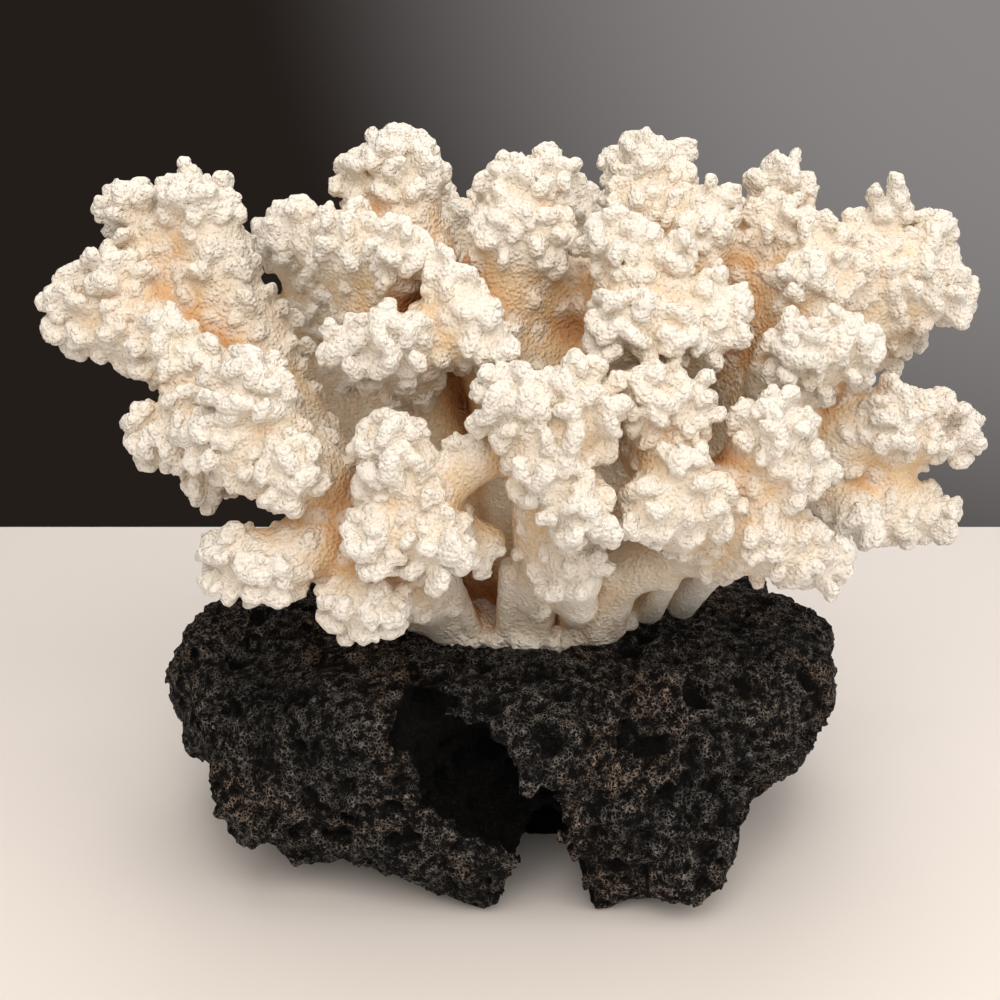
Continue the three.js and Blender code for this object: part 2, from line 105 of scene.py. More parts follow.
BRANCHES = {
    "far_left": {
        "stem": [(-54, -8, 107, 9), (-78, -8, 130, 8)],
        "heads": [(-99, -8, 154, 10), (-109, -6, 147, 11), (-97, -12, 143, 9)],
    },
    "upper_left": {
        "stem": [(-54, -8, 107, 9), (-66, -2, 134, 9)],
        "heads": [
            (-96, 4, 170, 9), (-79, 2, 172, 11), (-75, -2, 157, 10),
            (-94, 0, 157, 8), (-68, -4, 147, 8),
        ],
    },
    "left": {
        "stem": [(-54, -8, 107, 9), (-66, -18, 124, 8)],
        "heads": [(-86, -20, 142, 9), (-76, -26, 135, 10)],
    },
    "left_low": {
        "stem": [(-54, -8, 107, 8), (-64, -24, 114, 7)],
        "heads": [(-86, -32, 122, 9), (-77, -38, 127, 9), (-74, -38, 112, 6)],
    },
    "left_front": {
        "stem": [(-32, -38, 96, 8), (-48, -44, 116, 7)],
        "heads": [(-61, -48, 137, 11), (-68, -50, 127, 9), (-52, -56, 121, 9)],
    },
    "lower_left": {
        "stem": [(-32, -38, 96, 8), (-48, -48, 100, 6)],
        "heads": [(-66, -52, 98, 9), (-58, -57, 96, 8)],
    },
    "low_front_left": {
        "stem": [(-22, -28, 80, 7), (-32, -46, 88, 6)],
        "heads": [(-40, -58, 89, 7), (-33, -60, 91, 8)],
    },
    "front_left": {
        "stem": [(-32, -38, 96, 7), (-24, -50, 108, 7)],
        "heads": [(-28, -58, 127, 10), (-32, -64, 108, 8), (-17, -64, 106, 9), (-22, -60, 117, 7)],
    },
    "upper_left_front": {
        "stem": [(-26, -6, 132, 9), (-26, -30, 140, 8)],
        "heads": [(-37, -44, 147, 8), (-27, -48, 150, 9)],
    },
    "top_left_front": {
        "stem": [(-26, -6, 132, 10), (-32, -16, 152, 9)],
        "heads": [(-53, -12, 169, 8), (-41, -20, 168, 9), (-27, -28, 165, 9)],
    },
    "top_left": {
        "stem": [(-26, -6, 132, 10), (-25, -5, 158, 9)],
        "heads": [(-37, 0, 178, 9), (-28, -2, 180, 12), (-27, -6, 168, 9)],
    },
    "top_middle": {
        "stem": [(-2, -12, 134, 10), (-2, -12, 156, 9)],
        "heads": [(9, -8, 180, 8), (0, -12, 178, 9), (6, -20, 168, 9), (-4, -22, 171, 7)],
    },
    "front_ridge": {
        "stem": [(-2, -12, 134, 8), (-12, -30, 148, 7)],
        "heads": [(-17, -34, 162, 6), (-10, -42, 153, 6), (-4, -48, 146, 5)],
    },
    "centre_front": {
        "stem": [(9, -40, 100, 8), (8, -48, 120, 8)],
        "heads": [(-1, -58, 138, 10), (14, -58, 138, 11), (6, -62, 126, 9), (14, -66, 115, 9)],
    },
    "front_stub": {
        "stem": [(7, -30, 82, 6), (12, -44, 92, 5)],
        "heads": [(14, -52, 101, 7), (15, -50, 92, 5)],
    },
    "front_right_up": {
        "stem": [(46, -34, 98, 8), (34, -42, 122, 8)],
        "heads": [(30, -52, 138, 9), (39, -50, 135, 8)],
    },
    "front_right_mid": {
        "stem": [(46, -34, 98, 7), (38, -48, 108, 7)],
        "heads": [(37, -59, 122, 8), (30, -61, 114, 8), (44, -57, 114, 8)],
    },
    "front_right": {
        "stem": [(46, -34, 98, 8), (54, -42, 112, 8)],
        "heads": [(58, -50, 129, 10), (65, -50, 121, 9)],
    },
    "low_front_right": {
        "stem": [(46, -34, 98, 7), (54, -44, 100, 6)],
        "heads": [(56, -54, 106, 8), (67, -50, 100, 8), (73, -46, 95, 7)],
    },
    "low_right": {
        "stem": [(64, -2, 111, 8), (82, -10, 102, 7)],
        "heads": [(97, -14, 95, 8), (107, -12, 95, 8), (86, -26, 98, 6)],
    },
    "far_right": {
        "stem": [(64, -2, 111, 9), (84, -12, 116, 8)],
        "heads": [(94, -18, 122, 10), (106, -14, 119, 9), (113, -10, 115, 8)],
    },
    "right_shelf": {
        "stem": [(64, -2, 111, 9), (66, -20, 132, 8)],
        "heads": [(67, -34, 144, 9), (78, -30, 144, 9)],
    },
    "right_fan": {
        "stem": [(64, -2, 111, 9), (82, 2, 140, 9)],
        "heads": [(95, 6, 170, 7), (105, 6, 162, 9), (110, 4, 150, 9), (97, 0, 156, 10), (84, 0, 162, 8)],
    },
    "right_fingers": {
        "stem": [(64, -2, 111, 7), (86, 10, 130, 6)],
        "heads": [(103, 14, 138, 7), (98, 18, 130, 6)],
    },
    "top_right_middle": {
        "stem": [(32, 2, 130, 10), (34, 8, 156, 9)],
        "heads": [(31, 14, 180, 9), (38, 14, 179, 9), (31, 8, 170, 10)],
    },
    "upper_front": {
        "stem": [(32, 2, 130, 9), (28, -18, 148, 9)],
        "heads": [(23, -28, 168, 9), (33, -30, 164, 9), (24, -44, 152, 9), (34, -42, 149, 9)],
    },
    "top_right_small": {
        "stem": [(32, 2, 130, 8), (44, 0, 154, 7)],
        "heads": [(50, 2, 173, 6), (46, -6, 166, 7)],
    },
    "right_knobs": {
        "stem": [(32, 2, 130, 8), (42, -22, 144, 7)],
        "heads": [(41, -34, 156, 6), (50, -32, 154, 6), (45, -38, 148, 6)],
    },
    "top_right": {
        "stem": [(64, -2, 111, 10), (61, 3, 144, 9)],
        "heads": [(68, 10, 175, 9), (65, 0, 167, 9)],
    },
    "right_crown": {
        "stem": [(64, -2, 111, 10), (69, -6, 142, 8)],
        "heads": [(74, -6, 164, 8), (80, -8, 158, 9), (70, -18, 157, 8)],
    },
    "back_left_low": {
        "stem": [(-46, 44, 110, 8), (-66, 42, 108, 7)],
        "heads": [(-84, 38, 112, 11), (-76, 48, 99, 9)],
    },
    "back_left": {
        "stem": [(-46, 44, 110, 9), (-70, 34, 130, 8)],
        "heads": [(-94, 24, 132, 11), (-86, 32, 147, 9)],
    },
    "back_left_top": {
        "stem": [(-46, 44, 110, 9), (-54, 36, 138, 8)],
        "heads": [(-60, 32, 158, 11), (-48, 42, 150, 9)],
    },
    "back_left_inner": {
        "stem": [(-46, 44, 110, 8), (-44, 54, 116, 7)],
        "heads": [(-48, 64, 122, 11), (-40, 66, 106, 9), (-38, 60, 136, 9)],
    },
    "back_top": {
        "stem": [(-4, 48, 116, 9), (-12, 38, 144, 8)],
        "heads": [(-22, 36, 164, 10), (-8, 42, 160, 10)],
    },
    "back": {
        "stem": [(-4, 48, 116, 9), (-4, 60, 124, 8)],
        "heads": [(-12, 70, 136, 10), (5, 72, 126, 10), (-16, 70, 118, 9)],
    },
    "back_low": {
        "stem": [(-2, 38, 90, 7), (-4, 52, 92, 6)],
        "heads": [(2, 66, 98, 9), (-14, 64, 91, 8)],
    },
    "back_right_top": {
        "stem": [(50, 44, 112, 9), (34, 40, 142, 8)],
        "heads": [(18, 40, 162, 10), (34, 42, 158, 11)],
    },
    "back_right": {
        "stem": [(50, 44, 112, 8), (48, 54, 124, 7)],
        "heads": [(44, 62, 138, 11), (54, 60, 124, 10)],
    },
    "back_right_low": {
        "stem": [(32, 36, 88, 7), (44, 52, 94, 7)],
        "heads": [(38, 66, 104, 9), (58, 58, 99, 9)],
    },
    "back_right_side": {
        "stem": [(50, 44, 112, 8), (74, 34, 126, 8)],
        "heads": [(86, 36, 142, 10), (92, 30, 126, 10), (80, 44, 114, 9)],
    },
    "back_right_crown": {
        "stem": [(50, 44, 112, 8), (62, 34, 140, 7)],
        "heads": [(64, 34, 158, 10), (78, 26, 153, 9)],
    },
    "right_back_low": {
        "stem": [(50, 44, 112, 7), (78, 32, 104, 6)],
        "heads": [(98, 26, 108, 9), (88, 34, 96, 8)],
    },
}

# ------------------------------------------------------------------ how the colony grows, millimetres

VOXEL = 0.7  # grid step of the colony's field
ROOM = 7.0  # clear space that the grid leaves round the tables' own reach
SEED = 11

FORK_SHARE = 0.85  # a limb leaves its fork this much thinner than the stem
HEAD_CORE = 0.48  # share of a head's radius that is solid core under its lobes
STEM_SOFT = 6.0  # width of the fillet where limbs join
COLUMN_SOFT = 2.0  # the same where columns and trunks meet the foot
LOBE_SOFT = 0.5  # width of the cleft between lobes
KNOB_SOFT = 0.4  # width of the cleft between the knobs on a lobe
PETAL_SPACING = 6.6  # from one petal to the next along limbs and webs
PETAL_CROWD = 0.56  # where more than this share of the space around is coral, no petals grow
PETAL_AREA = 54.0  # skin of a head for each petal
PETAL_STEP = 1.5  # from one finger of a petal to the next, in finger radii
PETAL_FINGERS = (2, 4)  # fewest and most fingers of a petal
HEAD_FINGER = (1.35, 2.1)  # radius of a head's fingers, before its own size tells
HEAD_REACH = (0.92, 1.14)  # how far a head's petals reach, in head radii
HANG_SWELL = 1.15  # fingers that hang are this much fatter
HANG_MORE = 3.0  # and up to this much longer
SKIN_FINGER = (1.35, 2.2)  # radius of the fingers along limbs and webs
SKIN_REACH = (2.0, 6.5)  # how far those stand out, where nothing crowds them
SKIN_ROOT = 3.0  # how deep under the skin they are rooted
LEAN = 0.9  # how much they lean outwards along the branch
KNOB_SPACING = 3.3  # from the middle of one knob to the next
KNOB_RADIUS = (0.85, 1.35)
KNOB_OUT = (0.2, 0.9)  # how far a knob stands out of its finger
KNOB_SIZE = 1.8  # the smallest knobs, which cover every petal
KNOB_HEIGHT = 0.55
GRAIN = 0.18  # height of the chalky grain over all the coral
KNOB_SPREAD = math.radians(105)  # how far round a lobe its knobs reach
WEB_REACH = 19.0  # limbs whose middles lie closer than this are webbed together
HEAD_SPREAD = math.radians(112)  # how far round a head its lobes reach
NECK = 0.45  # a head's petals rise from this far back, in head radii
GOLDEN = math.pi * (3 - math.sqrt(5))
ROOTED = 1.0  # how far the coral reaches into the rock
CRUST_BLOOM = 0.7  # how granular the crust is, where a petal is 1
CRUST_LUMP = 1.4  # height of the crust's own lumps
CRUST_LUMP_SIZE = 2.6
LAPPETS = 64  # rounded lappets round the crust's edge
OVERLAP = 0.35  # how far a piece's skin runs on under its neighbour's
TUCK = 0.2  # how deep that hidden edge is tucked

ROCK_STEP = 1.1  # grid step of the rock's field
PITS = 4200  # gas bubbles broken open in its skin
PIT_RADIUS = (0.9, 3.5)  # radius of the smallest and the largest bubble
LUMPS = ((17, 2.4), (8, 1.5), (4, 0.8), (2.2, 0.4))  # size and height of the rock's lumps
CLINKER = 1.9  # size of the crumbs that its skin is made of
CLINKER_HEIGHT = 1.2
SHADED_DEPTH = 5.0  # painted shade: this far under the block's own face the pale crust is left off, so pits, crevice and cave stay black
ROCK = {
    "centre": (-3, 6, 30), "half": (89, 66, 33), "root": 52, "plan": 2.8, "side": 6,
    "left": 0.7, "right": 0.46, "depth": 0.08, "brow": 48, "calm": 0.7,
}
SWELLS = [
    ((0.061, 0.022, 0.05), 0.6, 2.6), ((-0.038, 0.083, 0.041), 2.1, 2.2),
    ((0.118, -0.061, 0.102), 4.4, 1.5), ((-0.142, -0.104, 0.173), 1.3, 1.0),
]
CREVICE = [(-24, -38, 67, 5), (-23, -58, 56, 6), (-9, -54, 43, 13), (3, -50, 30, 12)]
ARCH = {"left": -5, "right": 20, "crown": 26, "back": -14}


# ------------------------------------------------------------------ fields


class Field:
    """A signed distance on a regular grid, in millimetres: negative inside, FAR where nothing is near."""

    def __init__(self, low, high, step):
        self.step = step
        self.low = np.floor(np.array(low, float) / step) * step
        shape = np.ceil((np.array(high) - self.low) / step).astype(int) + 1
        self.axes = [(self.low[i] + step * np.arange(shape[i])).astype(np.float32) for i in range(3)]
        self.value = np.full(shape, FAR, np.float32)

    def window(self, low, high):
        """The slices that hold the box from low to high, cut to the grid."""
        start = np.floor((np.array(low) - self.low) / self.step).astype(int).clip(0)
        stop = np.minimum(np.ceil((np.array(high) - self.low) / self.step).astype(int) + 1, self.value.shape)
        return tuple(slice(a, max(a, b)) for a, b in zip(start, stop))

    def corner(self, window):
        """The lowest corner of a window, in millimetres."""
        return np.array([self.axes[i][window[i].start] for i in range(3)], float)

    @classmethod
    def over(cls, low, step, value):
        """A field from values that another field's work gave."""
        field = cls.__new__(cls)
        field.low, field.step, field.value = np.array(low, float), step, value
        return field

    def part(self, share):
        """A share's own values as a field."""
        return Field.over(self.corner(share.window), self.step, share.value)

    def sample(self, points):
        """The eight grid values round each point, each weighted by how near it is along x, y and z."""
        values = self.value
        place = (points - self.low) / self.step
        base = np.clip(np.floor(place).astype(int), 0, np.array(values.shape) - 2)
        part = np.clip(place - base, 0, 1).astype(np.float32)
        total = np.zeros(len(points), np.float32)
        for corner in np.ndindex(2, 2, 2):
            weight = np.prod(np.where(corner, part, 1 - part), axis=1)
            total += weight * values[tuple((base + corner).T)]
        return total

    def slope(self, points):
        """The unit way out of the skin: central differences half a step to each side."""
        reach = 0.5 * self.step
        way = np.stack(
            [self.sample(points + reach * axis) - self.sample(points - reach * axis) for axis in np.eye(3)], 1
        )
        return way / np.maximum(np.linalg.norm(way, axis=1), 1e-6)[:, None]


class Share:
    """One piece's own shape, in its own window of the colony's grid."""

    def __init__(self, colony, strokes):
        places = np.array([stroke[:3] for stroke in strokes] + [stroke[4:7] for stroke in strokes])
        reach = max(max(stroke[3], stroke[7]) for stroke in strokes) + ROOM
        self.window = colony.window(places.min(0) - reach, places.max(0) + reach)
        self.value = np.full([w.stop - w.start for w in self.window], FAR, np.float32)
        self.strokes = strokes


def taper_distance(axes, window, stroke):
    """Distance to a round-ended taper: from the nearest place on its line, less the radius there."""
    start, near, end, far = stroke[:3], stroke[3], stroke[4:7], stroke[7]
    x = axes[0][window[0]][:, None, None] - np.float32(start[0])
    y = axes[1][window[1]][None, :, None] - np.float32(start[1])
    z = axes[2][window[2]][None, None, :] - np.float32(start[2])
    line = np.array(end, np.float32) - np.array(start, np.float32)
    length2 = np.float32(max(line @ line, 1e-6))
    along = x * line[0] + y * line[1] + z * line[2]
    share = np.clip(along / length2, 0, 1)
    away2 = (x * x + y * y) + z * z - share * (2 * along - share * length2)
    return np.sqrt(np.maximum(away2, 0)) - (np.float32(near) + share * np.float32(far - near))


def soft_union(old, new, soft):
    """The lower of two fields, less soft / 4 * (1 - |old - new| / soft)^2 where they lie that close."""
    near = np.maximum(soft - np.abs(old - new), 0)
    return np.minimum(old, new) - near * near * np.float32(0.25 / soft)


# ------------------------------------------------------------------ growth: a stroke is x y z r x y z r soft


def stroke_of(start, near, end, far, soft):
    """A round-ended taper's two ends, each with its radius, and the width of the fillet where it joins."""
    return np.array([*start, near, *end, far, soft], float)


def chain_strokes(places, soft):
    """A taper from each place to the next; a place is x, y, z and the radius there."""
    return [stroke_of(a[:3], a[3], b[:3], b[3], soft) for a, b in zip(places, places[1:])]


def unit(way):
    """The same way with a length of one: the way over its own length."""
    return way / np.linalg.norm(way)


def cap_ways(axis, count, spread, scatter, rng):
    """Ways spread evenly over a cap: equal steps of height down from the axis, each a golden angle on."""
    axis = unit(np.array(axis, float))
    side = unit(np.cross(axis, (0, 0, 1) if abs(axis[2]) < 0.9 else (1, 0, 0)))
    other = np.cross(axis, side)
    step = np.arange(count) + 0.5
    height = 1 - (1 - math.cos(spread)) * step / count
    across = np.sqrt(1 - height**2)
    turn = step * GOLDEN + rng.uniform(0, 2 * math.pi)
    ways = height[:, None] * axis + across[:, None] * (
        np.cos(turn)[:, None] * side + np.sin(turn)[:, None] * other
    )
    ways = ways + rng.normal(0, scatter, ways.shape)
    return ways / np.linalg.norm(ways, axis=1)[:, None]


def limb_strokes(branch):
    """Stem, a limb to each head, and a web between the necks of heads that follow each other."""
    stem, heads = branch["stem"], branch["heads"]
    fork, thick = np.array(stem[1][:3], float), stem[1][3]
    strokes = chain_strokes(stem, STEM_SOFT)
    necks = []
    for head in heads:
        centre = np.array(head[:3], float)
        strokes.append(stroke_of(fork, thick * FORK_SHARE, centre, head[3] * HEAD_CORE, STEM_SOFT))
        necks.append((fork + (centre - fork) * 0.75, head[3] * 0.62))
    for (a, near), (b, far) in zip(necks, necks[1:]):
        strokes.append(stroke_of(a, near, b, far, STEM_SOFT - 1))
    return strokes


def knob_strokes(lobe, rng):
    """Knobs over the end of a lobe: low on its face, and standing out round its rim as scallops."""
    tip, radius = lobe[4:7], lobe[7]
    way = unit(tip - lobe[:3])
    count = int(2 * math.pi * radius**2 * (1 - math.cos(KNOB_SPREAD)) / (0.87 * KNOB_SPACING**2))
    strokes = []
    for knob_way in cap_ways(way, max(3, count), KNOB_SPREAD, 0.2, rng):
        size = rng.uniform(*KNOB_RADIUS)
        reach = radius + rng.uniform(*KNOB_OUT)
        strokes.append(stroke_of(tip, size, tip + knob_way * (reach - size), size, KNOB_SOFT))
    return strokes


def petal_strokes(foot, way, reach, size, rng):
    """A petal: two to four fingers side by side in a fan, the middle ones longest."""
    aside = unit(np.cross(way, rng.normal(size=3)))
    count = rng.integers(PETAL_FINGERS[0], PETAL_FINGERS[1] + 1)
    strokes = []
    for i in range(count):
        across = (i - (count - 1) / 2) * PETAL_STEP
        finger = unit(way * reach + aside * across * size)
        out = reach - 0.35 * size * abs(across) + rng.uniform(-0.4, 0.4)
        strokes.append(stroke_of(foot, size * 0.8, foot + finger * (out - size), size, LOBE_SOFT))
    return strokes


def head_lobes(fork, head, rng):
    """Petals that rise from a head's neck and fan out over its cap, longer and smoother where they hang."""
    centre, radius = np.array(head[:3], float), head[3]
    outward = centre - fork
    neck = centre - NECK * radius * unit(outward)
    lobes, fingers = [], []
    area = 2 * math.pi * radius**2 * (1 - math.cos(HEAD_SPREAD))
    for way in cap_ways(outward, round(area / PETAL_AREA), HEAD_SPREAD, 0.12, rng):
        size = rng.uniform(*HEAD_FINGER) * (0.6 + 0.04 * radius)
        out = rng.uniform(*HEAD_REACH) * radius
        foot = neck + way * radius * 0.4
        hangs = way[2] < -0.4 and rng.random() < 0.6
        tip = centre + way * (out + (rng.uniform(0, HANG_MORE) if hangs else 0))
        reach = np.linalg.norm(tip - foot)
        fresh = petal_strokes(foot, (tip - foot) / reach, reach, size * (HANG_SWELL if hangs else 1), rng)
        (fingers if hangs else lobes).extend(fresh)
    return lobes, fingers


def spread_out(points, spacing, rng):
    """Leaves one point in each cell of a cubic grid, then drops each that has an earlier one too near."""
    points = points[rng.permutation(len(points))]
    cells = np.floor(points / spacing).astype(int)
    _, first = np.unique(cells, axis=0, return_index=True)
    points = points[np.sort(first)]
    kept = np.ones(len(points), bool)
    for i in range(1, len(points)):
        near = np.sum((points[:i] - points[i]) ** 2, 1) < (0.72 * spacing) ** 2
        kept[i] = not np.any(near & kept[:i])
    return points[kept]


def skin_petals(colony, shares, spacing, rng):
    """Petals all over the open skin of limbs and webs: they stand out along the skin's own way out."""
    points, _ = skin_of(colony.value, colony.low, colony.step)
    crowd = crowding(colony)
    points = points[crowd.sample(points + 3 * colony.slope(points)) < PETAL_CROWD]
    points = spread_out(points, spacing, rng)
    ways = colony.slope(points)
    bare = np.clip(crowd.sample(points + 3 * ways) / PETAL_CROWD, 0, 1)
    owner = np.zeros(len(points), int)
    nearest = np.full(len(points), np.inf)
    for index, share in enumerate(shares.values()):
        own = colony.part(share).sample(points)
        owner = np.where(own < nearest, index, owner)
        nearest = np.minimum(nearest, own)
    names = list(shares)
    petals = []
    for point, way, index, calm in zip(points, ways, owner, bare):
        name = names[index]
        if not name.startswith("branch"):
            continue
        stem = BRANCHES[name.removeprefix("branch_")]["stem"]
        outward = unit(point - np.array(stem[1][:3], float))
        lean = unit(way + LEAN * outward)
        size = rng.uniform(*SKIN_FINGER) * (1.1 - 0.4 * calm)
        reach = SKIN_ROOT + rng.uniform(*SKIN_REACH) * (1.1 - calm)
        petals.append((name, petal_strokes(point - SKIN_ROOT * way, lean, reach, size, rng)))
    return petals


# Webs that close what would be gaps in the middle of the colony: x, y, z, radius of each end.
CURTAINS = [
    ("branch_top_middle", (0, -12, 152, 8), (28, -4, 152, 8)),
    ("branch_top_middle", (1, -12, 136, 8), (28, -6, 136, 8)),
    ("branch_front_left", (-24, -52, 112, 6), (-10, -50, 122, 6)),
    ("branch_front_left", (-24, -50, 108, 6), (-8, -46, 100, 5)),
]

# Ribs down the front of the trunks, from the foot up: x, y, z, radius of each end.
FLUTES = [
    ("trunk_left_front", (-19, -22, 66, 3), (-26, -32, 86, 3)),
    ("trunk_left_front", (-11, -22, 66, 3), (-17, -32, 86, 3)),
    ("trunk_front", (-2, -22, 66, 3), (-1, -33, 88, 3)),
    ("trunk_front", (7, -23, 66, 3), (8, -34, 88, 3)),
    ("trunk_right_front", (20, -22, 66, 3), (23, -31, 86, 3)),
    ("trunk_right_front", (26, -20, 66, 3), (28, -28, 86, 3)),
]
FLUTE_SOFT = 1.0

# Holes left open in the crust: x, y, z, radius.
HOLES = [(-2, -22, 70, 2), (10, -25, 68, 2), (15, -25, 64, 4)]

# Rusty stains from worms and weed: x, y, z of the middle, and how far they reach.
STAINS = [(28, -23, 68, 9), (108, -20, 122, 9), (-12, -38, 124, 12)]


def web_strokes(limbs):
    """Limbs that pass close to each other fuse: a web joins the middles of each such pair."""
    middles = np.array([0.55 * limb[:3] + 0.45 * limb[4:7] for _, limb in limbs])
    away = np.linalg.norm(middles[:, None] - middles[None], axis=2)
    webs = []
    for i, j in np.argwhere(np.triu(away < WEB_REACH, 1)):
        (name, first), (other, second) = limbs[i], limbs[j]
        if name != other:
            webs.append((name, stroke_of(middles[i], first[7] * 0.8, middles[j], second[7] * 0.8, STEM_SOFT)))
    for name, start, end in CURTAINS:
        webs.append((name, *chain_strokes([start, end], STEM_SOFT)))
    for name, start, end in FLUTES:
        webs.append((name, *chain_strokes([start, end], FLUTE_SOFT)))
    return webs


# ------------------------------------------------------------------ the colony, grown once and shared out

def colony_pieces():
    """The strokes that each piece starts from, by the name of the piece that it replaces."""
    pieces = {"coral_foot": []}
    for name, places in {**COLUMNS, **TRUNKS}.items():
        pieces[name] = chain_strokes(places, COLUMN_SOFT)
    for name, branch in BRANCHES.items():
        pieces["branch_" + name] = limb_strokes(branch)
    return pieces


def crust_distance(field, window):
    """Distance to an ellipsoid mound: (k - 1) k / |p / h^2|, where k = |p / h|."""
    x, y, z = (field.axes[i][window[i]] - CRUST["centre"][i] for i in range(3))
    a, b, c = CRUST["half"]
    x, y, z = x[:, None, None], y[None, :, None], z[None, None, :]
    ratio = np.sqrt((x / a) ** 2 + (y / b) ** 2 + (z / c) ** 2)
    steep = np.sqrt((x / a**2) ** 2 + (y / b**2) ** 2 + (z / c**2) ** 2)
    return ((ratio - 1) * ratio / np.maximum(steep, 1e-6)).astype(np.float32)


def foot_strokes(rng):
    """The crust's edge: rounded lappets that creep outwards over the rock all round the mound."""
    strokes = []
    (x, y, z), (a, b, c) = CRUST["centre"], CRUST["half"]
    for i in range(LAPPETS):
        turn = 2 * math.pi * (i + rng.uniform(-0.3, 0.3)) / LAPPETS
        out = rng.uniform(0.9, 1.04)
        tip = np.array([x + a * out * math.cos(turn), y + b * out * math.sin(turn), z + 2.5])
        foot = np.array([x + a * 0.7 * math.cos(turn), y + b * 0.7 * math.sin(turn), z + 4.5])
        size = rng.uniform(1.8, 3.4)
        strokes.append(stroke_of(foot, size * 1.2, tip, size, 1.5))
    return strokes


def grow_colony(step, spacing, seed):
    """Draws every stroke into the colony's field and into its own piece's share: limbs, lobes, then knobs."""
    rng = np.random.default_rng(seed)
    pieces = colony_pieces()
    pieces["coral_foot"] = foot_strokes(rng)
    low, high = np.array(CAD_BOX) / MM - TO_CENTRE
    low, high = low - ROOM, high + ROOM
    low[2] = CRUST["centre"][2] - CRUST["half"][2] - ROOM
    colony = Field(low, high, step)
    bloom = np.full(colony.value.shape, FAR, np.float32)
    shares = {name: Share(colony, strokes) for name, strokes in pieces.items()}

    def draw(share, stroke, flowering):
        margin = max(stroke[3], stroke[7]) + max(stroke[8], 2 * step) + 1
        low = np.minimum(stroke[:3], stroke[4:7]) - margin
        high = np.maximum(stroke[:3], stroke[4:7]) + margin
        window = colony.window(low, high)
        if any(w.stop <= w.start for w in window):
            return
        away = taper_distance(colony.axes, window, stroke)
        soft = np.float32(stroke[8])
        colony.value[window] = soft_union(colony.value[window], away, soft)
        if flowering:
            bloom[window] = np.minimum(bloom[window], away)
        inner = tuple(slice(w.start - s.start, w.stop - s.start) for w, s in zip(window, share.window))
        if all(i.start >= 0 for i in inner) and all(i.stop <= n for i, n in zip(inner, share.value.shape)):
            share.value[inner] = np.minimum(share.value[inner], away)

    foot = shares["coral_foot"]
    mound = crust_distance(colony, foot.window)
    foot.value[:] = np.minimum(foot.value, mound)
    colony.value[foot.window] = np.minimum(colony.value[foot.window], mound)
    for share in shares.values():
        for stroke in share.strokes:
            draw(share, stroke, False)
    limbs = [(name, stroke) for name, share in shares.items() if name.startswith("branch")
             for stroke in share.strokes]
    for name, stroke in web_strokes(limbs):
        draw(shares[name], stroke, False)

    def is_buried(stroke):
        return colony.sample(stroke[None, 4:7])[0] < -1.0 - stroke[7]

    petals = skin_petals(colony, shares, spacing, rng)
    lobes = [(name, finger) for name, fingers in petals for finger in fingers]
    for name, branch in BRANCHES.items():
        fork = np.array(branch["stem"][1][:3], float)
        for head in branch["heads"]:
            fresh, hanging = head_lobes(fork, head, rng)
            lobes += [("branch_" + name, finger) for finger in fresh]
            for finger in hanging:
                if not is_buried(finger):
                    draw(shares["branch_" + name], finger, True)
    lobes = [lobe for lobe in lobes if not is_buried(lobe[1])]
    for name, finger in lobes:
        draw(shares[name], finger, True)
    for name, finger in lobes:
        for knob in knob_strokes(finger, rng):
            if not is_buried(knob):
                draw(shares[name], knob, True)
    for lappet in foot.strokes:
        for knob in knob_strokes(lappet, rng):
            draw(foot, knob, True)
    for *centre, radius in HOLES:
        window = colony.window(np.array(centre) - radius - 1, np.array(centre) + radius + 1)
        away = taper_distance(colony.axes, window, stroke_of(centre, radius, centre, radius, 0))
        colony.value[window] = np.maximum(colony.value[window], -away)
    return colony, bloom, shares


def share_out(colony, shares):
    """For each grid point: the nearest piece's own distance, the next nearest one's, and whose is nearest."""
    best = np.full(colony.value.shape, FAR, np.float32)
    second = best.copy()
    whose = np.full(colony.value.shape, -1, np.int16)
    for index, share in enumerate(shares.values()):
        near, next_near, owner = best[share.window], second[share.window], whose[share.window]
        closer = share.value < near
        next_near[:] = np.where(closer, near, np.minimum(next_near, share.value))
        near[:] = np.where(closer, share.value, near)
        owner[closer] = index
    return best, second, whose


def crowding(colony):
    """How much coral lies near each place: solid share of each cell, box-averaged three times."""
    coarse = 4
    solid = np.clip(0.5 - colony.value / (2 * colony.step), 0, 1)
    trimmed = solid[tuple(slice(0, n - n % coarse) for n in solid.shape)]
    blocks = trimmed.reshape(sum(((n // coarse, coarse) for n in trimmed.shape), ()))
    full = blocks.mean(axis=(1, 3, 5))
    reach = max(1, round(4.5 / (coarse * colony.step)))
    for _ in range(3):
        for axis in range(3):
            padded = np.concatenate([np.zeros_like(full.take([0], axis)), np.cumsum(full, axis)], axis)
            n = full.shape[axis]
            high = np.minimum(np.arange(n) + reach + 1, n)
            low = np.maximum(np.arange(n) - reach, 0)
            full = (padded.take(high, axis) - padded.take(low, axis)) / (2 * reach + 1)
    middle = colony.low + (coarse - 1) * colony.step / 2
    return Field.over(middle, coarse * colony.step, full.astype(np.float32))


def stand_on_rock(colony):
    """Ends the coral a millimetre under the rock's skin."""
    rock, _ = rock_field(ROCK_STEP, PITS)
    layers = int((rock.axes[2][-1] - colony.low[2]) / colony.step)
    grid = np.stack(np.meshgrid(colony.axes[0], colony.axes[1], colony.axes[2][:layers], indexing="ij"), -1)
    beneath = rock.sample(grid.reshape(-1, 3)).reshape(grid.shape[:3])
    outside = np.any((grid < rock.low) | (grid > rock.low + rock.step * (np.array(rock.value.shape) - 1)), -1)
    beneath[outside] = FAR
    part = colony.value[:, :, :layers]
    part[:] = np.maximum(part, -beneath - ROOTED)


